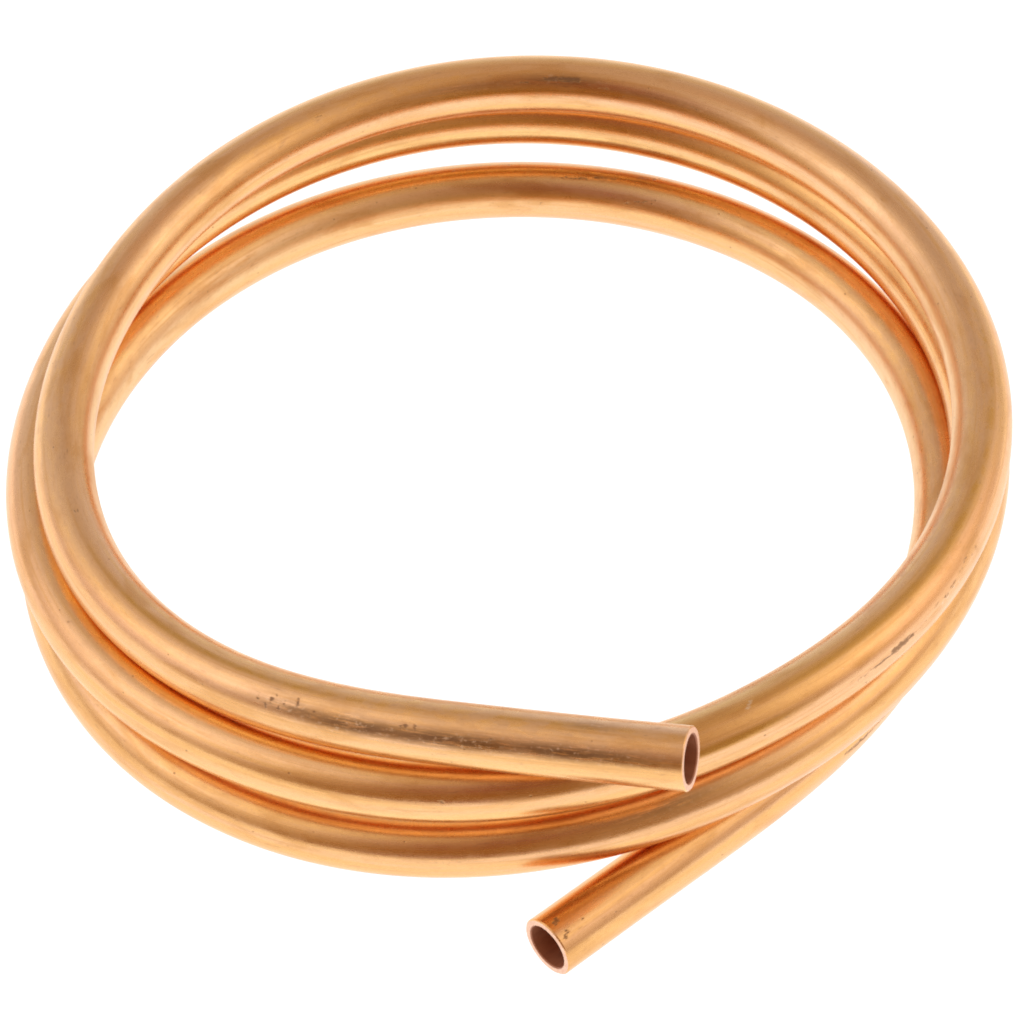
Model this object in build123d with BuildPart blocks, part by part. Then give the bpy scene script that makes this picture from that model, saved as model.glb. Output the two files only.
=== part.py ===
from build123d import *
import os
from math import cos, radians, sin, sqrt

# Loose coil of round copper tube, about three turns, lying flat on a floor.
# Z = 0 is the floor. The coil is wound clockwise, seen from above, from the
# cut end on top down to the cut end that lies on the floor.

# ---- driving dimensions, mm -------------------------------------------------
tube_diameter = 8.0      # outside diameter
wall = 1.0               # wall of the tube
edge_break = 0.15        # small chamfer left by the cutter at both ends

# Stations along the centreline: x, y, z, then the heading in the floor plane
# (degrees from +X) and the rise (degrees above level) of the tube there.
# The first and the last stretch are straight.
stations = [
    (  21.30,  -65.34,  31.57,   164.16,  -8.76),
    (  12.75,  -62.92,  30.19,   164.16,  -8.76),
    (  -2.45,  -58.53,  27.81,   163.35,  -8.72),
    ( -18.33,  -53.14,  25.02,   157.78,  -9.75),
    ( -33.16,  -45.34,  22.35,   145.92,  -7.98),
    ( -45.70,  -34.11,  20.44,   129.93,  -4.84),
    ( -54.41,  -19.63,  19.43,   111.92,  -2.03),
    ( -58.29,   -3.15,  19.09,    95.00,  -0.55),
    ( -57.52,   13.79,  19.02,    80.05,   0.14),
    ( -52.62,   30.02,  19.24,    66.60,   1.39),
    ( -40.39,   49.06,  19.94,    47.52,   1.80),
    ( -22.37,   62.71,  20.49,    26.58,   0.89),
    (  -0.60,   68.77,  20.62,     4.35,  -0.23),
    (  21.83,   66.05,  20.30,   -18.24,  -1.40),
    (  41.47,   54.90,  19.60,   -40.84,  -1.84),
    (  55.40,   37.11,  19.09,   -62.88,  -0.55),
    (  61.93,   15.45,  19.16,   -83.20,   0.86),
    (  60.81,   -7.15,  19.78,  -102.39,   2.34),
    (  52.38,  -28.13,  20.94,  -121.66,   3.11),
    (  37.36,  -45.03,  21.78,  -141.29,   0.29),
    (  17.58,  -55.96,  20.88,  -161.57,  -4.45),
    (  -4.72,  -58.89,  18.57,   176.50,  -6.62),
    ( -26.50,  -53.36,  16.00,   155.42,  -6.33),
    ( -45.06,  -40.61,  13.69,   135.54,  -5.04),
    ( -57.82,  -22.02,  12.36,   113.18,  -1.59),
    ( -62.69,    0.06,  12.07,    92.07,  -0.19),
    ( -59.76,   22.52,  12.12,    73.46,   0.39),
    ( -49.96,   42.93,  12.36,    55.11,   0.77),
    ( -34.12,   59.09,  12.69,    35.82,   0.73),
    ( -13.72,   68.87,  12.82,    15.20,  -0.18),
    (   8.82,   70.70,  12.55,    -6.01,  -1.12),
    (  30.45,   64.14,  11.97,   -27.75,  -1.75),
    (  48.05,   49.99,  11.24,   -49.87,  -1.76),
    (  59.17,   30.30,  10.75,   -70.96,  -0.42),
    (  62.72,    7.96,  11.03,   -90.79,   1.66),
    (  58.76,  -14.32,  11.92,  -109.24,   2.62),
    (  48.15,  -34.32,  12.83,  -126.68,   1.57),
    (  31.81,  -49.97,  12.85,  -146.26,  -1.88),
    (  11.05,  -58.75,  11.16,  -168.00,  -6.47),
    ( -11.38,  -59.21,   8.29,   170.45,  -7.18),
    ( -32.49,  -51.50,   5.81,   149.32,  -5.08),
    ( -49.33,  -36.50,   4.39,   127.07,  -2.05),
    ( -59.21,  -16.17,   4.00,   105.00,   0.00),
    ( -61.04,    6.38,   4.00,    84.61,   0.00),
    ( -55.14,   28.23,   4.04,    65.13,   0.10),
    ( -42.24,   46.81,   4.11,    45.14,   0.18),
    ( -23.63,   59.66,   4.12,    23.93,  -0.17),
    (  -1.62,   64.87,   4.03,     2.74,  -0.20),
    (  20.76,   61.71,   4.00,   -19.11,   0.00),
    (  40.15,   50.13,   4.15,   -42.68,   0.47),
    (  53.28,   31.76,   4.22,   -66.20,  -0.33),
    (  58.23,    9.70,   4.00,   -88.01,   0.00),
    (  55.10,  -12.71,   4.11,  -107.82,   0.57),
    (  44.78,  -32.87,   4.22,  -125.86,  -0.20),
    (  29.41,  -49.57,   4.00,  -137.70,   0.00),
    (  14.42,  -62.81,   4.00,  -138.68,   0.00),
    (   3.91,  -72.06,   4.00,  -138.68,   0.00),
]


def place(station):
    return Vector(station[0], station[1], station[2])


def direction(station):
    heading, rise = radians(station[3]), radians(station[4])
    return Vector(cos(rise) * cos(heading), cos(rise) * sin(heading), sin(rise))


def meeting(p0, t0, p1, t1):
    """Where the two arcs meet that carry the tube from station to station,
    and the direction that they share there."""
    span = p1 - p0
    both = t0 + t1
    a = 2 * (1 - t0.dot(t1))
    b = span.dot(both)
    c = span.dot(span)
    reach = c / (2 * b) if a < 1e-9 else (-b + sqrt(b * b + a * c)) / a
    q0 = p0 + t0 * reach
    q1 = p1 - t1 * reach
    return (q0 + q1) * 0.5, (q1 - q0).normalized()


bore = tube_diameter - 2 * wall

first, last = place(stations[0]), place(stations[-1])
bend_start, bend_end = place(stations[1]), place(stations[-2])
top_end_dir = direction(stations[1]) * -1     # out of the cut end on top
floor_end_dir = direction(stations[-2])       # out of the cut end on the floor

# ---- centreline of the turns: pairs of tangent arcs between stations ---------
with BuildLine() as turns:
    for here, there in zip(stations[1:-2], stations[2:-1]):
        p0, t0 = place(here), direction(here)
        p1, t1 = place(there), direction(there)
        middle, shared = meeting(p0, t0, p1, t1)
        TangentArc(p0, middle, tangent=t0)
        TangentArc(middle, p1, tangent=shared)

centreline = turns.wires()[0]

# ---- the tube: one ring section carried along the turns, with straight ends --
with BuildPart() as tube:
    with BuildSketch(Plane(origin=bend_start, z_dir=direction(stations[1]))) as ring:
        Circle(tube_diameter / 2)
        Circle(bore / 2, mode=Mode.SUBTRACT)
    sweep(path=centreline)
    for root, out, tip in (
        (bend_start, top_end_dir, first),
        (bend_end, floor_end_dir, last),
    ):
        with BuildSketch(Plane(origin=root, z_dir=out)):
            Circle(tube_diameter / 2)
            Circle(bore / 2, mode=Mode.SUBTRACT)
        extrude(amount=(tip - root).length)
    cut_faces = [
        face
        for face in tube.faces().filter_by(GeomType.PLANE)
        if abs(face.area - ring.sketch.area) < 0.01 * ring.sketch.area
    ]
    chamfer([edge for face in cut_faces for edge in face.edges()], length=edge_break)

tube.part.label = "tube"

os.makedirs("parts", exist_ok=True)
export_step(tube.part, "parts/tube.step")

box = tube.part.bounding_box()
length = centreline.length + (first - bend_start).length + (last - bend_end).length
print("tube length %.1f mm" % length)
print("tightest bend %.1f mm" % min(e.radius for e in centreline.edges() if e.geom_type == GeomType.CIRCLE))
print("volume %.1f mm3, section times length %.1f mm3" % (tube.part.volume, ring.sketch.area * length))
print("solids %d, valid %s, cut faces %d" % (len(tube.part.solids()), tube.part.is_valid, len(cut_faces)))
print("box x %.3f %.3f  y %.3f %.3f  z %.3f %.3f" % (box.min.X, box.max.X, box.min.Y, box.max.Y, box.min.Z, box.max.Z))
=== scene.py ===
import bpy
import math
import numpy as np
from mathutils import Matrix, Vector


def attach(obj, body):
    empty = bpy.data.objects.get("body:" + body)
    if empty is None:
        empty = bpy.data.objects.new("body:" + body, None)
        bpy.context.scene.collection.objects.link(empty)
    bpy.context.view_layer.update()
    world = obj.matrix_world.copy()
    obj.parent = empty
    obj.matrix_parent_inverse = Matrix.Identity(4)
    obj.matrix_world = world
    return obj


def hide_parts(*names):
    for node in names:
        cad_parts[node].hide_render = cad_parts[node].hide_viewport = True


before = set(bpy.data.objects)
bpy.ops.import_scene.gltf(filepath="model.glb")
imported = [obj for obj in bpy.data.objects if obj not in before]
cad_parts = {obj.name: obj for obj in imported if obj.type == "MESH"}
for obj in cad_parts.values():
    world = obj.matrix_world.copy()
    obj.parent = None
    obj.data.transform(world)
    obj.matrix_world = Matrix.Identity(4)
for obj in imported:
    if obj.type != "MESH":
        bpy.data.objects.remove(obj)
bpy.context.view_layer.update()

# =============================================================================
# The tube: a loose coil of 8 x 1 mm soft copper, three turns, two cut ends.
# Lengths below are millimetres until the mesh is made.
# =============================================================================
R_OUT = 4.0
R_IN = 3.0
EDGE = 0.15

# x, y, z, heading in the floor plane, rise: the same stations as the CAD tube
STATIONS = [
    (  21.30,  -65.34,  31.57,   164.16,  -8.76),
    (  12.75,  -62.92,  30.19,   164.16,  -8.76),
    (  -2.45,  -58.53,  27.81,   163.35,  -8.72),
    ( -18.33,  -53.14,  25.02,   157.78,  -9.75),
    ( -33.16,  -45.34,  22.35,   145.92,  -7.98),
    ( -45.70,  -34.11,  20.44,   129.93,  -4.84),
    ( -54.41,  -19.63,  19.43,   111.92,  -2.03),
    ( -58.29,   -3.15,  19.09,    95.00,  -0.55),
    ( -57.52,   13.79,  19.02,    80.05,   0.14),
    ( -52.62,   30.02,  19.24,    66.60,   1.39),
    ( -40.39,   49.06,  19.94,    47.52,   1.80),
    ( -22.37,   62.71,  20.49,    26.58,   0.89),
    (  -0.60,   68.77,  20.62,     4.35,  -0.23),
    (  21.83,   66.05,  20.30,   -18.24,  -1.40),
    (  41.47,   54.90,  19.60,   -40.84,  -1.84),
    (  55.40,   37.11,  19.09,   -62.88,  -0.55),
    (  61.93,   15.45,  19.16,   -83.20,   0.86),
    (  60.81,   -7.15,  19.78,  -102.39,   2.34),
    (  52.38,  -28.13,  20.94,  -121.66,   3.11),
    (  37.36,  -45.03,  21.78,  -141.29,   0.29),
    (  17.58,  -55.96,  20.88,  -161.57,  -4.45),
    (  -4.72,  -58.89,  18.57,   176.50,  -6.62),
    ( -26.50,  -53.36,  16.00,   155.42,  -6.33),
    ( -45.06,  -40.61,  13.69,   135.54,  -5.04),
    ( -57.82,  -22.02,  12.36,   113.18,  -1.59),
    ( -62.69,    0.06,  12.07,    92.07,  -0.19),
    ( -59.76,   22.52,  12.12,    73.46,   0.39),
    ( -49.96,   42.93,  12.36,    55.11,   0.77),
    ( -34.12,   59.09,  12.69,    35.82,   0.73),
    ( -13.72,   68.87,  12.82,    15.20,  -0.18),
    (   8.82,   70.70,  12.55,    -6.01,  -1.12),
    (  30.45,   64.14,  11.97,   -27.75,  -1.75),
    (  48.05,   49.99,  11.24,   -49.87,  -1.76),
    (  59.17,   30.30,  10.75,   -70.96,  -0.42),
    (  62.72,    7.96,  11.03,   -90.79,   1.66),
    (  58.76,  -14.32,  11.92,  -109.24,   2.62),
    (  48.15,  -34.32,  12.83,  -126.68,   1.57),
    (  31.81,  -49.97,  12.85,  -146.26,  -1.88),
    (  11.05,  -58.75,  11.16,  -168.00,  -6.47),
    ( -11.38,  -59.21,   8.29,   170.45,  -7.18),
    ( -32.49,  -51.50,   5.81,   149.32,  -5.08),
    ( -49.33,  -36.50,   4.39,   127.07,  -2.05),
    ( -59.21,  -16.17,   4.00,   105.00,   0.00),
    ( -61.04,    6.38,   4.00,    84.61,   0.00),
    ( -55.14,   28.23,   4.04,    65.13,   0.10),
    ( -42.24,   46.81,   4.11,    45.14,   0.18),
    ( -23.63,   59.66,   4.12,    23.93,  -0.17),
    (  -1.62,   64.87,   4.03,     2.74,  -0.20),
    (  20.76,   61.71,   4.00,   -19.11,   0.00),
    (  40.15,   50.13,   4.15,   -42.68,   0.47),
    (  53.28,   31.76,   4.22,   -66.20,  -0.33),
    (  58.23,    9.70,   4.00,   -88.01,   0.00),
    (  55.10,  -12.71,   4.11,  -107.82,   0.57),
    (  44.78,  -32.87,   4.22,  -125.86,  -0.20),
    (  29.41,  -49.57,   4.00,  -137.70,   0.00),
    (  14.42,  -62.81,   4.00,  -138.68,   0.00),
    (   3.91,  -72.06,   4.00,  -138.68,   0.00),
]


def unit(v):
    return v / np.linalg.norm(v)


def heading(row):
    a, b = math.radians(row[3]), math.radians(row[4])
    return np.array([math.cos(b) * math.cos(a), math.cos(b) * math.sin(a), math.sin(b)])


def build_path():
    """Straight end, pairs of tangent arcs, straight end: (length, place(u), heading(u))."""
    P = [np.array(r[:3], float) for r in STATIONS]
    T = [heading(r) for r in STATIONS]
    parts = []

    def straight(a, b):
        length, way = np.linalg.norm(b - a), unit(b - a)
        parts.append((length, lambda u: a + way * u, lambda u: way))

    def arc(a, t, b):
        v = b - a
        along = v.dot(t)
        side = v - along * t
        h = np.linalg.norm(side)
        if h < 1e-7:
            straight(a, b)
            return
        n = side / h
        radius = v.dot(v) / (2 * h)
        angle = 2 * math.atan2(h, along)
        parts.append((
            radius * angle,
            lambda u: a + radius * (math.sin(u / radius) * t + (1 - math.cos(u / radius)) * n),
            lambda u: math.cos(u / radius) * t + math.sin(u / radius) * n,
        ))

    straight(P[0], P[1])
    for i in range(1, len(P) - 2):
        p0, p1, t0, t1 = P[i], P[i + 1], T[i], T[i + 1]
        v, both = p1 - p0, t0 + t1
        a, b, c = 2 * (1 - t0.dot(t1)), v.dot(both), v.dot(v)
        reach = c / (2 * b) if a < 1e-9 else (-b + math.sqrt(b * b + a * c)) / a
        q0, q1 = p0 + t0 * reach, p1 - t1 * reach
        middle = (q0 + q1) / 2
        arc(p0, t0, middle)
        arc(middle, unit(q1 - q0), p1)
    straight(P[-2], P[-1])
    return parts


PATH = build_path()
STARTS = np.concatenate([[0.0], np.cumsum([p[0] for p in PATH])])
LENGTH = float(STARTS[-1])


def at(s):
    """Centre, heading, the direction up the tube's side and the one away from the coil's middle."""
    i = min(int(np.searchsorted(STARTS, s, side="right")) - 1, len(PATH) - 1)
    i = max(i, 0)
    u = min(max(s - STARTS[i], 0.0), PATH[i][0])
    p, t = PATH[i][1](u), unit(PATH[i][2](u))
    up = unit(np.array([0, 0, 1.0]) - t[2] * t)
    return p, t, up, np.cross(up, t)


# =============================================================================
# Mesh. Angle 0 is the top of the tube, +90 degrees its side away from the
# coil's middle, 180 its underside.
# =============================================================================
AROUND = 72
theta = np.linspace(-math.pi, math.pi, AROUND, endpoint=False)
ct, st = np.cos(theta), np.sin(theta)

rng = np.random.default_rng(7)


def soft_waves(s, spans, strength, seed):
    """Smooth, uneven ripple along the tube with several wavelengths."""
    r = np.random.default_rng(seed)
    out = np.zeros_like(s)
    for span in spans:
        for _ in range(3):
            out += np.sin(2 * math.pi * s / (span * r.uniform(0.7, 1.4)) + r.uniform(0, 6.28)) * r.uniform(0.5, 1)
    return strength * out / (3 * len(spans)) ** 0.5


def radius_of(s, th):
    """Outside radius: soft copper is a little flattened where it was bent, and it has shallow handling dents."""
    flat = 0.020 + 0.010 * soft_waves(s, (45, 80), 1.0, 3)
    fade = np.clip(np.minimum(s, LENGTH - s) / 12.0, 0, 1)
    flat = flat * fade
    ripple = np.zeros_like(s)
    for m, seed in ((1, 11), (2, 12), (3, 13)):
        a = soft_waves(s, (24, 42, 70), 1.0, seed)
        b = soft_waves(s, (24, 42, 70), 1.0, seed + 20)
        ripple = ripple + (0.0055 / m) * (a * np.cos(m * th) + b * np.sin(m * th))
    ripple = ripple * fade
    drop = flat * np.sin(th) ** 2 + (0.012 * fade - ripple).clip(0)
    return R_OUT - drop


# rings of the outside, closer together at the rounded-off cut edges
end_steps = [0.0, 0.05, 0.10, 0.15, 0.19, 0.5, 1.0, 1.6]
# closer rings where there are scratches and dents to draw
FINE = [(2.4, 58.0, 0.6), (195.0, 226.0, 0.8), (342.0, 369.0, 0.35), (379.0, 384.0, 0.35),
        (996.0, 1034.0, 0.6), (1143.0, 1155.0, 0.4), (1195.0, LENGTH - 2.4, 0.35)]
middle_rings = [2.4]
while middle_rings[-1] < LENGTH - 2.4 - 0.3:
    here = middle_rings[-1]
    step = min([gap for low, high, gap in FINE if low - 0.01 <= here < high] + [1.3])
    middle_rings.append(min(here + step, LENGTH - 2.4))
middle_rings = np.array(middle_rings)
outer_s = np.concatenate([end_steps, middle_rings, LENGTH - np.array(end_steps[::-1])])
edge_drop = {0.0: 0.15, 0.05: 0.10, 0.10: 0.05, 0.15: 0.0}

# rings of the bore: fine near the ends, where it can be seen
inner_end = [0.0, 0.05, 0.10, 0.15, 0.19, 1.0]
inner_near = list(np.arange(2.5, 34.0, 1.5))
inner_mid = np.linspace(38, LENGTH - 38, int(round((LENGTH - 76) / 6.0)) + 1)
inner_s = np.concatenate([
    inner_end, inner_near, inner_mid,
    LENGTH - np.array(inner_near[::-1]), LENGTH - np.array(inner_end[::-1]),
])


def edge_fall(s):
    d = min(s, LENGTH - s)
    for key, drop in edge_drop.items():
        if abs(d - key) < 1e-6:
            return drop
    return 0.0


verts, coords = [], []


def add_ring(s, radii, kind):
    p, t, up, out = at(s)
    first = len(verts)
    for k in range(AROUND):
        verts.append(p + radii[k] * (ct[k] * up + st[k] * out))
        coords.append((s, ct[k] * R_OUT, st[k] * R_OUT))
    return first


outer_rings, inner_rings = [], []
for s in outer_s:
    radii = radius_of(np.full(AROUND, s), theta) - edge_fall(s)
    outer_rings.append(add_ring(s, radii, "outer"))
for s in inner_s:
    radii = np.full(AROUND, R_IN) + edge_fall(s)
    inner_rings.append(add_ring(s, radii, "inner"))
# two more rings on each cut face keep its shading flat up to the rounded edges
face_rings = {}
for name, s in (("top", 0.0), ("floor", LENGTH)):
    face_rings[name] = (
        add_ring(s, np.full(AROUND, R_OUT - EDGE - 0.03), "face"),
        add_ring(s, np.full(AROUND, (R_OUT + R_IN) / 2), "face"),
        add_ring(s, np.full(AROUND, R_IN + EDGE + 0.03), "face"),
    )

faces, slots = [], []
uv_of = []          # one list of four (u, v) for each face
OUTER, CUT, BORE = 0, 1, 2

# the map: the outside unrolled in strips, then the bore and the cut faces
STRIPS = 7
STRIP_LEN = LENGTH / STRIPS
AROUND_MM = 2 * math.pi * R_OUT
GAP = 0.7
ROW = AROUND_MM + GAP
MAP_W = STRIP_LEN + 2.6
MAP_H = STRIPS * ROW + 19.6 + GAP
NEAR = 15.0


def strip_uv(s, a, strip):
    return ((s - strip * STRIP_LEN + 1.3) / MAP_W, (strip * ROW + GAP / 2 + a * AROUND_MM) / MAP_H)


def bore_uv(s, a):
    low = STRIPS * ROW + GAP / 2
    v = (low + a * 18.85) / MAP_H
    if s <= NEAR:
        u = 0.7 + s
    elif s >= LENGTH - NEAR:
        u = 0.7 + NEAR + 1.2 + (s - (LENGTH - NEAR))
    else:
        u = 52.0 + (s - NEAR) / (LENGTH - 2 * NEAR) * (STRIP_LEN - 52.0)
    return u / MAP_W, v


def face_uv(k, radius, which):
    cx = 0.7 + 2 * NEAR + 1.2 + 0.7 + 4.4
    cy = STRIPS * ROW + GAP / 2 + 4.6 + (9.4 if which == "floor" else 0.0)
    return (cx + radius * ct[k % AROUND]) / MAP_W, (cy + radius * st[k % AROUND]) / MAP_H


def quads(lower, upper, s0, s1, mapped, slot, flip):
    for k in range(AROUND):
        k1 = (k + 1) % AROUND
        q = [lower + k, lower + k1, upper + k1, upper + k]
        m = [mapped(s0, k / AROUND), mapped(s0, (k + 1) / AROUND), mapped(s1, (k + 1) / AROUND), mapped(s1, k / AROUND)]
        if flip:
            q, m = q[::-1], m[::-1]
        faces.append(q)
        uv_of.append(m)
        slots.append(slot)


for i in range(len(outer_s) - 1):
    strip = min(int((outer_s[i] + outer_s[i + 1]) / 2 / STRIP_LEN), STRIPS - 1)
    quads(outer_rings[i], outer_rings[i + 1], outer_s[i], outer_s[i + 1],
          lambda s, a, strip=strip: strip_uv(s, a, strip), OUTER, True)
for i in range(len(inner_s) - 1):
    mid = (inner_s[i] + inner_s[i + 1]) / 2
    lo_s, hi_s = inner_s[i], inner_s[i + 1]
    if mid < NEAR:
        hi_s = min(hi_s, NEAR)
    elif mid > LENGTH - NEAR:
        lo_s = max(lo_s, LENGTH - NEAR)
    else:
        lo_s, hi_s = max(lo_s, NEAR + 1e-6), min(hi_s, LENGTH - NEAR - 1e-6)
    quads(inner_rings[i], inner_rings[i + 1], lo_s, hi_s, bore_uv, BORE, False)


def face_quads(rings, radii, which, flip):
    for (r0, a), (r1, b) in zip(zip(rings[:-1], radii[:-1]), zip(rings[1:], radii[1:])):
        for k in range(AROUND):
            k1 = (k + 1) % AROUND
            q = [r0 + k, r0 + k1, r1 + k1, r1 + k]
            m = [face_uv(k, a, which), face_uv(k + 1, a, which), face_uv(k + 1, b, which), face_uv(k, b, which)]
            if flip:
                q, m = q[::-1], m[::-1]
            faces.append(q)
            uv_of.append(m)
            slots.append(CUT)


for which, ring_o, ring_i, flip in (
    ("top", outer_rings[0], inner_rings[0], False),
    ("floor", outer_rings[-1], inner_rings[-1], True),
):
    a, b, c = face_rings[which]
    face_quads([ring_o, a, b, c, ring_i],
               [R_OUT - EDGE, R_OUT - EDGE - 0.03, 3.5, R_IN + EDGE + 0.03, R_IN + EDGE], which, flip)

verts = np.array(verts) * 0.001
mesh = bpy.data.meshes.new("copper_tube_coil")
mesh.from_pydata([tuple(v) for v in verts], [], faces)
mesh.update()
mesh.polygons.foreach_set("use_smooth", np.ones(len(faces), bool))
mesh.polygons.foreach_set("material_index", np.array(slots, np.int32))
layer = mesh.uv_layers.new(name="OFBake")
layer.data.foreach_set("uv", np.array(uv_of, np.float32).reshape(-1))
attribute = mesh.attributes.new("tube_mm", "FLOAT_VECTOR", "POINT")
attribute.data.foreach_set("vector", np.array(coords, np.float32).reshape(-1))

coords = np.array(coords)
S_ALL = coords[:, 0]
TH_ALL = np.degrees(np.arctan2(coords[:, 2], coords[:, 1]))


def patch(items):
    """A soft mask on the tube: (middle mm, half length mm, middle angle, half angle, strength)."""
    out = np.zeros(len(coords))
    for s, ds, a, da, strength in items:
        d = ((S_ALL - s) / ds) ** 2 + (((TH_ALL - a + 180) % 360 - 180) / da) ** 2
        out = np.maximum(out, strength * np.exp(-d))
    return out


def add_mask(name, values):
    mask = mesh.attributes.new(name, "FLOAT", "POINT")
    mask.data.foreach_set("value", np.asarray(values, np.float32))


# rubbed, scuffed stretches: dark, finely scratched copper
add_mask("scuff", patch([
    (41, 9, 51, 15, 1.0), (29, 12, 53, 15, 1.0), (14, 12, 52, 14, 1.0), (49, 5, 46, 12, 0.8),
    (221, 6, -40, 11, 0.75), (210, 14, -48, 10, 0.35), (236, 12, -50, 10, 0.35),
    (1025, 9, -5, 13, 0.55), (796, 8, 36, 12, 0.6), (12, 3, -3, 12, 0.5),
]))
# dulled stretches: a thin greyish-pink skin that hides the gold of the copper
add_mask("dull", patch([
    (20, 45, 5, 42, 0.9), (118, 40, 12, 40, 1.0), (180, 60, -20, 30, 0.6), (300, 45, -5, 40, 0.9),
    (345, 22, -25, 30, 0.9), (525, 60, 0, 45, 0.8), (1100, 45, -20, 40, 0.8), (1035, 12, -50, 22, 0.6),
    (720, 60, 0, 50, 0.6), (905, 60, 0, 60, 0.6),
]))
# golden-brown tarnish in long streaks, and pinker stretches. The streak at 386 mm on the top turn's outer side is
# painted reflection: darker copper that widens the dark band the room reflects there.
add_mask("gilt_and_painted_dark_band", patch([
    (62, 40, 4, 7.5, 0.85), (20, 22, 0, 8, 0.65), (352, 44, 11, 11, 1.0), (312, 22, 16, 9, 0.75), (386, 12, 57, 10, 0.8),
    (212, 26, -64, 9, 0.6), (240, 18, -30, 8, 0.4), (128, 16, -2, 5, 0.4), (1100, 30, -62, 6, 0.5),
    (33, 16, 42, 7, 0.5), (470, 40, -28, 8, 0.5), (770, 30, 10, 10, 0.5), (600, 60, -60, 10, 0.5), (915, 60, 20, 10, 0.5),
]))
add_mask("blush", patch([
    (345, 28, 42, 20, 1.2), (150, 30, -12, 26, 0.8), (90, 30, 45, 24, 0.7), (250, 24, -18, 22, 0.6), (300, 24, 50, 26, 0.7),
    (500, 50, 45, 26, 0.7), (1080, 40, -70, 26, 0.6), (1145, 30, 60, 30, 0.5), (700, 60, 60, 30, 0.6), (865, 60, -60, 30, 0.6),
]))

# paler, hazier stretches, partly painted highlight: they are centred where the highlights fall, most of all on the back
# of the top turn, and make those highlights whiter; and softer copper along the inner side of the turns
add_mask("pale_haze_and_painted_highlight", patch([
    (150, 28, -20, 42, 0.9), (250, 28, -25, 38, 1.0), (200, 40, -76, 26, 0.8), (106, 22, 15, 42, 0.8), (290, 22, -10, 40, 0.5),
    (512, 30, 30, 42, 0.7), (1032, 30, -30, 42, 0.6), (640, 30, -60, 30, 0.5), (780, 40, 30, 40, 0.5),
]))
add_mask("inner", patch([
    (96, 46, -74, 24, 1.0), (330, 50, -74, 24, 1.0), (22, 34, -62, 24, 1.0), (386, 24, -60, 24, 0.9),
    (950, 60, -62, 24, 0.9), (1090, 40, -76, 24, 0.9), (500, 50, -74, 24, 0.8),
]))
# painted bounce light: brighter orange copper in the narrow gaps between the turns, standing in for the light that
# reflects back and forth between them
add_mask("painted_gap_bounce_light", patch([
    (428, 60, -13, 20, 1.0), (820, 70, -13, 20, 1.0), (40, 60, 116, 24, 1.0), (428, 60, 116, 24, 1.0),
    (1012, 50, -8, 20, 1.0), (610, 60, -100, 22, 1.0), (290, 50, -118, 24, 0.8), (930, 60, -5, 20, 0.8),
]))


def strokes(items, soft):
    """Marks along short lines: (from mm, angle, to mm, angle, half width mm, strength)."""
    out = np.zeros(len(coords))
    across = np.radians(TH_ALL) * R_OUT
    for s0, a0, s1, a1, half, strength in items:
        near = (S_ALL > min(s0, s1) - 2) & (S_ALL < max(s0, s1) + 2)
        p = np.array([s0, math.radians(a0) * R_OUT])
        q = np.array([s1, math.radians(a1) * R_OUT])
        v = q - p
        xy = np.stack([S_ALL[near], across[near]], -1) - p
        u = np.clip(xy @ v / max(v @ v, 1e-9), 0, 1)
        d = np.linalg.norm(xy - u[:, None] * v, axis=1)
        out[near] = np.maximum(out[near], strength * np.exp(-(np.maximum(d - half, 0) / soft) ** 2))
    return out


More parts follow.
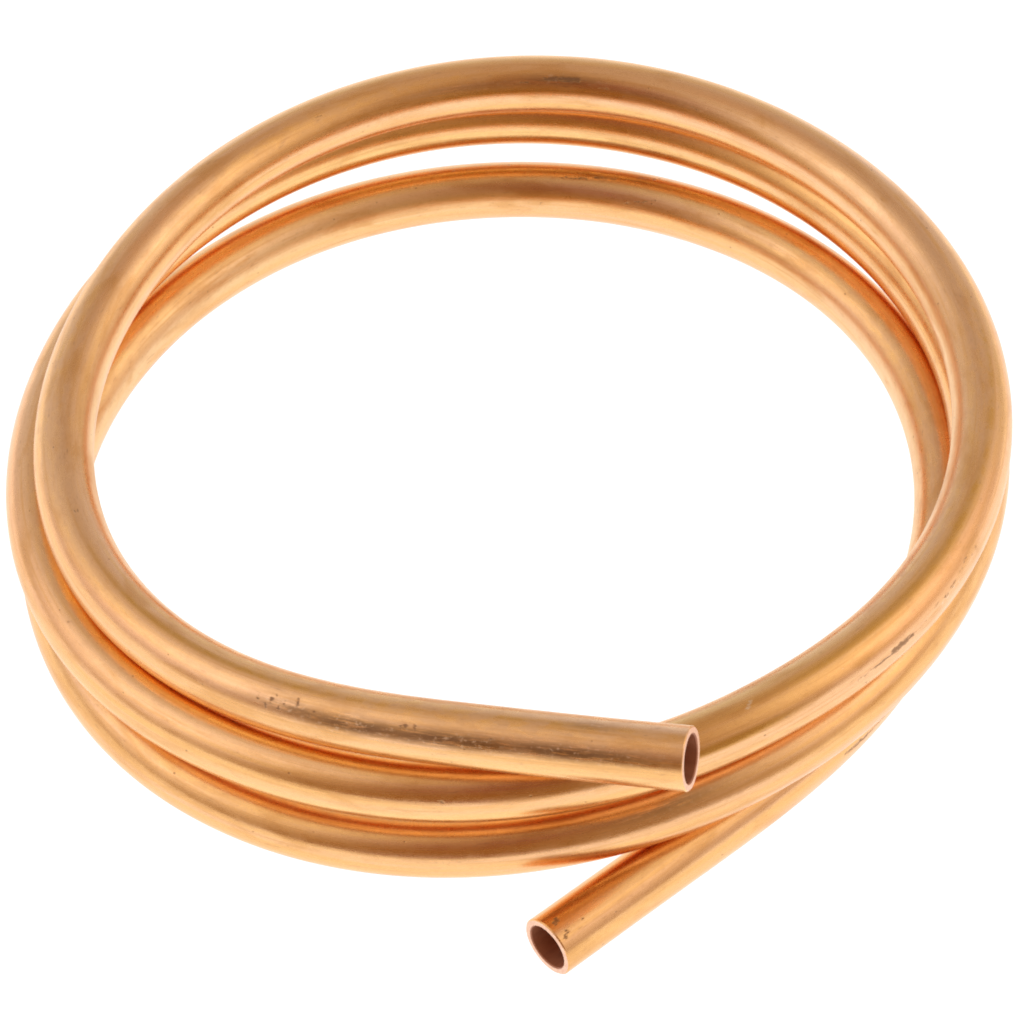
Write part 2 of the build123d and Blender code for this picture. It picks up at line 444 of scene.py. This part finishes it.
# dark scratches, dents and specks
DARK = [
    # the long scratch on the outer side of the top turn, front right, with the dent in it
    (354.4, 73, 357.6, 75, 0.02, 0.62), (357.6, 74, 360.0, 72.5, 0.06, 0.95), (359.8, 72, 361.2, 74, 0.16, 1.0),
    (361.2, 74, 364.6, 76, 0.03, 0.85), (364.6, 76, 367.6, 78, 0.02, 0.62), (358.6, 80, 361.0, 82, 0.0, 0.6),
    # its neighbour on the lowest turn
    (1145.2, 84, 1148.6, 86, 0.02, 0.75), (1148.8, 85, 1152.6, 82, 0.05, 0.85), (1150.4, 79, 1153.6, 80, 0.02, 0.6),
    # nicks along the right
    (331.0, 15, 331.8, 16, 0.07, 0.75), (334.4, 28, 335.2, 29, 0.04, 0.65), (338.2, 44, 339.4, 46, 0.03, 0.6),
    (343.6, 56, 344.4, 57, 0.05, 0.7), (345.2, 60, 346.0, 60, 0.03, 0.65), (347.2, 64, 348.6, 66, 0.05, 0.7),
    (349.6, 68, 350.2, 69, 0.08, 0.75), (351.6, 66, 352.6, 68, 0.03, 0.6), (340.8, 62, 342.4, 64, 0.04, 0.65),
    # ticks across the tube beside the scuffed stretch
    (52.3, 30, 53.6, 56, 0.04, 0.85), (50.8, 36, 51.8, 54, 0.03, 0.75), (49.0, 24, 49.6, 46, 0.02, 0.7),
    (54.6, 44, 55.0, 54, 0.05, 0.75), (46.8, 40, 47.4, 52, 0.05, 0.75), (34.6, 34, 35.4, 42, 0.06, 0.85), (33.4, 36, 33.8, 42, 0.04, 0.8), (23.8, 40, 24.2, 48, 0.05, 0.8),
    # back of the top turn
    (218.6, -39, 223.6, -38, 0.12, 0.95), (214.4, -47, 216.4, -46, 0.04, 0.6), (226.0, -50, 228.6, -49, 0.04, 0.6),
    (240.0, -52, 242.4, -51, 0.05, 0.6), (205.0, -60, 207.0, -59, 0.03, 0.5), (183.4, -28, 184.6, -22, 0.05, 0.6),
    # lowest turn at the back: ticks, a slanting scratch and dark dabs
    (1027.6, -58, 1032.6, -38, 0.02, 0.6), (1018.0, -20, 1021.4, -18, 0.10, 0.7), (1022.6, -12, 1025.6, -8, 0.08, 0.7),
    (1028.4, 6, 1031.0, 12, 0.06, 0.65), (1014.4, -82, 1015.6, -72, 0.02, 0.5), (1012.0, -84, 1013.6, -72, 0.02, 0.55),
    (1009.6, -84, 1011.2, -74, 0.02, 0.5), (1006.6, -82, 1008.0, -70, 0.02, 0.55), (999.0, -80, 1000.2, -68, 0.02, 0.5),
    (996.6, -78, 998.0, -66, 0.02, 0.5),
    # near the cut ends
    (1199.6, -2, 1200.4, 4, 0.14, 0.9), (1199.9, 28, 1200.6, 36, 0.10, 0.85), (1196.6, 20, 1197.2, 26, 0.05, 0.6),
    (1095.6, -62, 1096.2, -60, 0.16, 0.8), (1085.0, -58, 1085.6, -57, 0.10, 0.7), (1103.0, -55, 1103.6, -54, 0.10, 0.7),
    # dark lengthwise dabs on the left
    (99.6, 41, 107.0, 38, 0.12, 0.42), (62.0, 60, 63.6, 60, 0.05, 0.5), (120.4, 30, 121.2, 30, 0.08, 0.6), (97.0, -2, 97.5, -1, 0.10, 0.7),
    (505.0, 30, 511.0, 28, 0.10, 0.4), (478.0, 20, 478.8, 22, 0.10, 0.6), (446.0, 40, 446.6, 40, 0.08, 0.5), (420.0, 62, 420.6, 63, 0.12, 0.6),
]
# bright nicks where the metal shows
PALE = [
    (381.4, 6, 382.4, 16, 0.05, 0.9), (23.0, 30, 23.6, 46, 0.03, 0.6), (20.2, 34, 20.4, 44, 0.03, 0.5), (28.0, 40, 28.6, 50, 0.03, 0.55),
    (356.4, 66, 362.0, 67, 0.05, 0.5), (366.0, 40, 372.0, 36, 0.04, 0.4), (346.0, 72, 352.0, 75, 0.06, 0.6), (16.0, 38, 16.3, 52, 0.03, 0.5),
    (240.0, -30, 247.0, -24, 0.06, 0.45), (252.0, -20, 256.0, -16, 0.04, 0.4), (1199.8, 10, 1200.9, 11, 0.05, 0.5),
]
add_mask("dark_marks", strokes(DARK, 0.30))
add_mask("pale_marks", strokes(PALE, 0.28))

tube = bpy.data.objects.new("copper_tube_coil", mesh)
bpy.context.scene.collection.objects.link(tube)


# =============================================================================
# Materials
# =============================================================================
class Graph:
    """Short names for the shader nodes used below."""

    def __init__(self, name):
        self.material = bpy.data.materials.new(name)
        self.material.use_nodes = True
        self.tree = self.material.node_tree
        self.tree.nodes.clear()
        self.out = self.node("ShaderNodeOutputMaterial")

    def node(self, kind, **props):
        n = self.tree.nodes.new(kind)
        for k, v in props.items():
            setattr(n, k, v)
        return n

    def put(self, socket, value):
        if value is None:
            return
        if isinstance(value, bpy.types.NodeSocket):
            self.tree.links.new(value, socket)
        else:
            socket.default_value = value

    def attr(self, name, kind="Vector"):
        n = self.node("ShaderNodeAttribute", attribute_name=name)
        return n.outputs[kind]

    def math(self, op, a, b=None, c=None, clamp=False):
        n = self.node("ShaderNodeMath", operation=op, use_clamp=clamp)
        for socket, value in zip(n.inputs, (a, b, c)):
            self.put(socket, value)
        return n.outputs[0]

    def vmath(self, op, a, b=None, out="Vector"):
        n = self.node("ShaderNodeVectorMath", operation=op)
        self.put(n.inputs[0], a)
        self.put(n.inputs[1], b)
        return n.outputs[out]

    def split(self, v):
        n = self.node("ShaderNodeSeparateXYZ")
        self.put(n.inputs[0], v)
        return n.outputs

    def join(self, x, y, z):
        n = self.node("ShaderNodeCombineXYZ")
        for socket, value in zip(n.inputs, (x, y, z)):
            self.put(socket, value)
        return n.outputs[0]

    def noise(self, vector, scale=1.0, detail=2.0, rough=0.5, warp=0.0, out="Fac"):
        n = self.node("ShaderNodeTexNoise", noise_dimensions="3D")
        self.put(n.inputs["Vector"], vector)
        n.inputs["Scale"].default_value = scale
        n.inputs["Detail"].default_value = detail
        n.inputs["Roughness"].default_value = rough
        n.inputs["Distortion"].default_value = warp
        return n.outputs[out]

    def cells(self, vector, scale=1.0, out="Distance", randomness=1.0):
        n = self.node("ShaderNodeTexVoronoi", feature="F1")
        self.put(n.inputs["Vector"], vector)
        n.inputs["Scale"].default_value = scale
        n.inputs["Randomness"].default_value = randomness
        return n.outputs[out]

    def range(self, value, a, b, c=0.0, d=1.0, smooth=True):
        n = self.node("ShaderNodeMapRange", interpolation_type="SMOOTHSTEP" if smooth else "LINEAR")
        n.clamp = True
        for socket, v in zip(n.inputs, (value, a, b, c, d)):
            self.put(socket, v)
        return n.outputs[0]

    def mix(self, factor, a, b):
        n = self.node("ShaderNodeMix", data_type="RGBA")
        self.put(n.inputs["Factor"], factor)
        for socket, v in ((n.inputs["A"], a), (n.inputs["B"], b)):
            pass
        a_in = [i for i in n.inputs if i.name == "A" and i.type == "RGBA"][0]
        b_in = [i for i in n.inputs if i.name == "B" and i.type == "RGBA"][0]
        self.put(a_in, a if isinstance(a, bpy.types.NodeSocket) else (*a, 1.0))
        self.put(b_in, b if isinstance(b, bpy.types.NodeSocket) else (*b, 1.0))
        return [o for o in n.outputs if o.type == "RGBA"][0]

    def bump(self, height, distance, strength=1.0, normal=None):
        n = self.node("ShaderNodeBump")
        n.inputs["Strength"].default_value = strength
        n.inputs["Distance"].default_value = distance
        self.put(n.inputs["Height"], height)
        self.put(n.inputs["Normal"], normal)
        return n.outputs[0]


def copper_skin():
    g = Graph("drawn_copper")
    tube_mm = g.attr("tube_mm")
    scuff = g.attr("scuff", "Fac")
    dull = g.attr("dull", "Fac")
    gilt_and_painted_dark_band = g.attr("gilt_and_painted_dark_band", "Fac")
    blush = g.attr("blush", "Fac")
    pale_haze_and_painted_highlight = g.attr("pale_haze_and_painted_highlight", "Fac")
    inner = g.attr("inner", "Fac")
    painted_gap_bounce_light = g.attr("painted_gap_bounce_light", "Fac")
    dark_marks = g.attr("dark_marks", "Fac")
    pale_marks = g.attr("pale_marks", "Fac")

    def stretched(along, across):
        return g.vmath("MULTIPLY", tube_mm, (along, across, across))

    # drawing streaks: long bands, then fine lines
    bands = g.noise(stretched(0.013, 0.50), detail=3, rough=0.55, warp=0.3)
    lines = g.noise(stretched(0.045, 2.4), detail=4, rough=0.62)
    # tarnish in soft clouds, smaller blotches, and the grain of the annealed skin
    clouds = g.noise(stretched(0.075, 0.30), detail=4, rough=0.58, warp=0.5)
    blotch = g.noise(stretched(0.33, 0.80), detail=4, rough=0.62, warp=0.3)
    grain = g.noise(stretched(1.9, 4.2), detail=3, rough=0.62)

    gold = (0.905, 0.500, 0.192)
    rosy = (0.900, 0.520, 0.280)
    greyish = (0.790, 0.470, 0.262)
    brown = (0.730, 0.365, 0.125)
    base = g.mix(g.range(bands, 0.38, 0.66), gold, rosy)
    haze = g.math("MULTIPLY", dull, g.range(blotch, 0.36, 0.62))
    edge = g.math("MULTIPLY", g.math("SUBTRACT", bands, 0.5), 0.9)
    # pale haze, partly painted highlight: paler copper where the highlights fall
    base = g.mix(g.range(g.math("ADD", pale_haze_and_painted_highlight, edge), 0.20, 0.90, 0.0, 0.85), base, (0.915, 0.565, 0.315))
    base = g.mix(g.range(g.math("ADD", blush, edge), 0.25, 0.85, 0.0, 0.80), base, (0.900, 0.470, 0.225))
    # golden-brown tarnish streaks; near the upper end this also paints the dark reflection band wider
    base = g.mix(g.range(g.math("ADD", gilt_and_painted_dark_band, edge), 0.20, 0.80, 0.0, 0.92), base, (0.690, 0.352, 0.078))
    base = g.mix(g.math("MULTIPLY", inner, 0.75), base, (0.940, 0.690, 0.410))
    # painted bounce light: brighter orange in the gaps between the turns
    base = g.mix(painted_gap_bounce_light, base, (0.985, 0.625, 0.250))
    base = g.mix(g.math("MULTIPLY", haze, 0.80), base, greyish)
    base = g.mix(g.range(clouds, 0.48, 0.70, 0.0, 0.70), base, brown)
    base = g.mix(g.range(lines, 0.52, 0.72, 0.0, 0.55), base, brown)
    # light and dark flecks of the grain
    base = g.mix(g.range(grain, 0.52, 0.72, 0.0, 0.26), base, (0.60, 0.31, 0.150))
    base = g.mix(g.range(grain, 0.46, 0.26, 0.0, 0.14), base, (0.96, 0.66, 0.44))

    # pits and specks
    spots = g.cells(stretched(0.30, 0.42), out="Distance")
    spots_wobble = g.math("ADD", spots, g.math("MULTIPLY", g.noise(stretched(4.0, 4.0), detail=1), 0.05))
    speck = g.range(spots_wobble, 0.060, 0.090, 1.0, 0.0)
    base = g.mix(g.math("MULTIPLY", speck, 0.60), base, (0.30, 0.15, 0.08))

    # short lengthwise dashes, in groups
    dash = g.noise(stretched(0.62, 5.2), detail=2, rough=0.5)
    group = g.range(blotch, 0.50, 0.66)
    dashes = g.math("MULTIPLY", group, g.range(dash, 0.60, 0.70))
    base = g.mix(g.math("MULTIPLY", dashes, 0.42), base, (0.42, 0.22, 0.12))

    # scuffed stretches: fine dark lines with light gaps and ticks between them
    rub = g.noise(stretched(0.30, 3.4), detail=4, rough=0.70)
    ticks = g.noise(stretched(3.0, 0.8), detail=3, rough=0.6)
    lit = g.noise(stretched(1.5, 2.2), detail=3, rough=0.6)
    dark = g.math("MULTIPLY", scuff, g.range(rub, 0.34, 0.52))
    dark = g.math("MAXIMUM", dark, g.math("MULTIPLY", scuff, g.range(ticks, 0.60, 0.72, 0.0, 0.7)))
    base = g.mix(g.math("MULTIPLY", dark, 0.92), base, (0.27, 0.150, 0.080))
    base = g.mix(g.math("MULTIPLY", scuff, g.range(lit, 0.56, 0.70, 0.0, 0.75)), base, (0.93, 0.68, 0.47))

    # scratches and nicks, broken up along their edges
    ragged = g.noise(stretched(1.3, 4.0), detail=3, rough=0.65)
    ragged = g.math("MULTIPLY", g.math("SUBTRACT", ragged, 0.5), 1.5)
    gouge = g.range(g.math("ADD", dark_marks, ragged), 0.44, 0.80)
    gouge = g.math("MULTIPLY", gouge, g.range(dark_marks, 0.10, 0.35))
    nick = g.range(g.math("ADD", pale_marks, ragged), 0.48, 0.82)
    nick = g.math("MULTIPLY", nick, g.range(pale_marks, 0.10, 0.35))
    base = g.mix(g.math("MULTIPLY", nick, 0.55), base, (0.97, 0.76, 0.58))
    base = g.mix(g.math("MULTIPLY", gouge, 0.74), base, (0.27, 0.150, 0.085))

    rough = g.math("ADD", 0.275, g.math("MULTIPLY", g.math("SUBTRACT", lines, 0.5), 0.20))
    rough = g.math("ADD", rough, g.math("MULTIPLY", g.math("SUBTRACT", blotch, 0.5), 0.22))
    rough = g.math("ADD", rough, g.math("MULTIPLY", haze, 0.07))
    rough = g.math("ADD", rough, g.math("MULTIPLY", dark, 0.10))
    rough = g.math("ADD", rough, g.math("MULTIPLY", gouge, 0.25))
    rough = g.math("ADD", rough, g.math("MULTIPLY", inner, 0.17), clamp=True)

    # relief in millimetres
    height = g.math("MULTIPLY", lines, 0.0060)
    height = g.math("ADD", height, g.math("MULTIPLY", blotch, 0.0160))
    height = g.math("ADD", height, g.math("MULTIPLY", grain, 0.0016))
    height = g.math("ADD", height, g.math("MULTIPLY", bands, 0.012))
    height = g.math("SUBTRACT", height, g.math("MULTIPLY", speck, 0.020))
    height = g.math("SUBTRACT", height, g.math("MULTIPLY", gouge, 0.020))
    height = g.math("ADD", height, g.math("MULTIPLY", g.math("MULTIPLY", scuff, g.math("ADD", rub, ticks)), 0.022))
    normal = g.bump(height, 0.001)

    b = g.node("ShaderNodeBsdfPrincipled")
    g.put(b.inputs["Base Color"], base)
    b.inputs["Metallic"].default_value = 1.0
    g.put(b.inputs["Roughness"], rough)
    g.put(b.inputs["Normal"], normal)
    g.put(g.out.inputs["Surface"], b.outputs[0])
    return g.material


def cut_face():
    g = Graph("cut_copper")
    place = g.node("ShaderNodeNewGeometry").outputs["Position"]
    mm = g.vmath("MULTIPLY", place, (1000, 1000, 1000))
    saw = g.noise(g.vmath("MULTIPLY", mm, (1.0, 1.0, 9.0)), detail=3, rough=0.6)
    fleck = g.noise(mm, scale=2.2, detail=3)
    base = g.mix(g.range(fleck, 0.4, 0.65), (0.94, 0.62, 0.45), (0.88, 0.53, 0.37))
    b = g.node("ShaderNodeBsdfPrincipled")
    g.put(b.inputs["Base Color"], base)
    b.inputs["Metallic"].default_value = 0.8
    g.put(b.inputs["Roughness"], g.math("ADD", 0.46, g.math("MULTIPLY", g.math("SUBTRACT", saw, 0.5), 0.2)))
    g.put(b.inputs["Normal"], g.bump(saw, 0.001 * 0.03))
    g.put(g.out.inputs["Surface"], b.outputs[0])
    return g.material


def bore_skin():
    g = Graph("bore_copper")
    tube_mm = g.attr("tube_mm")
    clouds = g.noise(g.vmath("MULTIPLY", tube_mm, (0.15, 0.5, 0.5)), detail=4, rough=0.6)
    lines = g.noise(g.vmath("MULTIPLY", tube_mm, (0.04, 2.5, 2.5)), detail=3, rough=0.6)
    base = g.mix(g.range(clouds, 0.38, 0.68), (0.50, 0.20, 0.105), (0.42, 0.155, 0.080))
    b = g.node("ShaderNodeBsdfPrincipled")
    g.put(b.inputs["Base Color"], base)
    b.inputs["Metallic"].default_value = 0.25
    g.put(b.inputs["Roughness"], g.math("ADD", 0.50, g.math("MULTIPLY", g.math("SUBTRACT", lines, 0.5), 0.25)))
    g.put(b.inputs["Normal"], g.bump(lines, 0.001 * 0.02))
    g.put(g.out.inputs["Surface"], b.outputs[0])
    return g.material


for material in (copper_skin(), cut_face(), bore_skin()):
    mesh.materials.append(material)

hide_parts("tube")
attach(tube, "root")

# =============================================================================
# Studio: white floor, white surround behind it, soft light from both sides
# =============================================================================
scene = bpy.context.scene


def glow(name, colour, strength):
    material = bpy.data.materials.new(name)
    material.use_nodes = True
    nodes, links = material.node_tree.nodes, material.node_tree.links
    nodes.clear()
    out = nodes.new("ShaderNodeOutputMaterial")
    e = nodes.new("ShaderNodeEmission")
    e.inputs["Color"].default_value = (*colour, 1.0)
    e.inputs["Strength"].default_value = strength
    links.new(e.outputs[0], out.inputs["Surface"])
    return material


def disc(name, radius, z, count=96):
    me = bpy.data.meshes.new(name)
    ring = [(radius * math.cos(2 * math.pi * i / count), radius * math.sin(2 * math.pi * i / count), z) for i in range(count)]
    me.from_pydata(ring, [], [list(range(count))])
    ob = bpy.data.objects.new(name, me)
    scene.collection.objects.link(ob)
    return ob


floor = disc("floor", 30.0, -0.00002)
floor.data.materials.append(glow("white_floor", (1.0, 1.0, 1.0), 1.20))

# white surround that only the camera sees
me = bpy.data.meshes.new("backdrop")
rows, columns = 12, 48
points = []
for i in range(rows + 1):
    e = math.radians(-2 + 92 * i / rows)
    for j in range(columns):
        a = 2 * math.pi * j / columns
        points.append((28 * math.cos(e) * math.cos(a), 28 * math.cos(e) * math.sin(a), 28 * math.sin(e)))
me.from_pydata(points, [], [
    [i * columns + j, (i + 1) * columns + j, (i + 1) * columns + (j + 1) % columns, i * columns + (j + 1) % columns]
    for i in range(rows) for j in range(columns)
])
backdrop = bpy.data.objects.new("backdrop", me)
scene.collection.objects.link(backdrop)
backdrop.data.materials.append(glow("white_surround", (1.0, 1.0, 1.0), 1.20))
for ray in ("diffuse", "glossy", "transmission", "volume_scatter", "shadow"):
    setattr(backdrop, "visible_" + ray, False)

# the room: even fill, a large soft light on each side, the white sweep rising
# behind and the dark room in front
world = bpy.data.worlds.new("room")
scene.world = world
world.use_nodes = True
wn, wl = world.node_tree.nodes, world.node_tree.links
wn.clear()
wout = wn.new("ShaderNodeOutputWorld")
background = wn.new("ShaderNodeBackground")
wl.new(background.outputs[0], wout.inputs["Surface"])
way = wn.new("ShaderNodeTexCoord").outputs["Generated"]


def vector_math(op, a, b=None, scale=None):
    n = wn.new("ShaderNodeVectorMath")
    n.operation = op
    for socket, value in zip(n.inputs, (a, b)):
        if isinstance(value, bpy.types.NodeSocket):
            wl.new(value, socket)
        elif value is not None:
            socket.default_value = value
    if scale is not None:
        wl.new(scale, n.inputs["Scale"])
    return n.outputs["Value"] if op == "DOT_PRODUCT" else n.outputs["Vector"]


def soft_light(azimuth, elevation, focus, colour):
    """A broad soft light. Azimuth 0 is in front of the coil, 90 to its right, 180 behind it."""
    a, e = math.radians(azimuth), math.radians(elevation)
    axis = (math.sin(a) * math.cos(e), -math.cos(a) * math.cos(e), math.sin(e))
    fall = wn.new("ShaderNodeMath")
    fall.operation = "MULTIPLY_ADD"
    wl.new(vector_math("DOT_PRODUCT", way, axis), fall.inputs[0])
    fall.inputs[1].default_value = focus
    fall.inputs[2].default_value = -focus
    power = wn.new("ShaderNodeMath")
    power.operation = "EXPONENT"
    wl.new(fall.outputs[0], power.inputs[0])
    return vector_math("SCALE", colour, scale=power.outputs[0])


total = vector_math("ADD", (0.46, 0.335, 0.215), soft_light(96, 35, 7.9, (0.92, 0.91, 0.85)))
total = vector_math("ADD", total, soft_light(97, 45, 14.0, (0.13, 0.18, 0.23)))
total = vector_math("ADD", total, soft_light(269, 39, 8.3, (0.92, 1.00, 0.94)))
total = vector_math("ADD", total, soft_light(268, 24, 14.0, (0.11, 0.13, 0.33)))
total = vector_math("ADD", total, soft_light(185, -26, 3.1, (0.66, 1.03, 1.50)))
total = vector_math("SUBTRACT", total, soft_light(-20, -40, 3.2, (0.45, 0.57, 0.73)))
total = vector_math("SUBTRACT", total, soft_light(-26, 49, 9.0, (0.20, 0.24, 0.14)))
total = vector_math("MAXIMUM", total, (0.05, 0.04, 0.03))
wl.new(total, background.inputs["Color"])
background.inputs["Strength"].default_value = 1.0

# =============================================================================
# Camera
# =============================================================================
camera_data = bpy.data.cameras.new("camera")
camera_data.sensor_width = 36.0
camera_data.sensor_fit = "HORIZONTAL"
camera_data.lens = 165.3115
camera_data.clip_start, camera_data.clip_end = 0.01, 100.0
camera = bpy.data.objects.new("camera", camera_data)
scene.collection.objects.link(camera)
eye = Vector((-0.0000291, -0.4281689, 0.4601699))
look = Vector((0.0, 0.68602273, -0.7275801)).normalized()
right = Vector((0.99993305, -0.00841932, -0.00793844))
right = (right - look * right.dot(look)).normalized()
above = right.cross(look)
camera.matrix_world = Matrix((
    (right.x, above.x, -look.x, eye.x),
    (right.y, above.y, -look.y, eye.y),
    (right.z, above.z, -look.z, eye.z),
    (0, 0, 0, 1),
))
scene.camera = camera

scene.view_settings.view_transform = "Standard"
scene.view_settings.look = "None"
scene.cycles.glossy_bounces = 10
scene.cycles.filter_width = 1.9
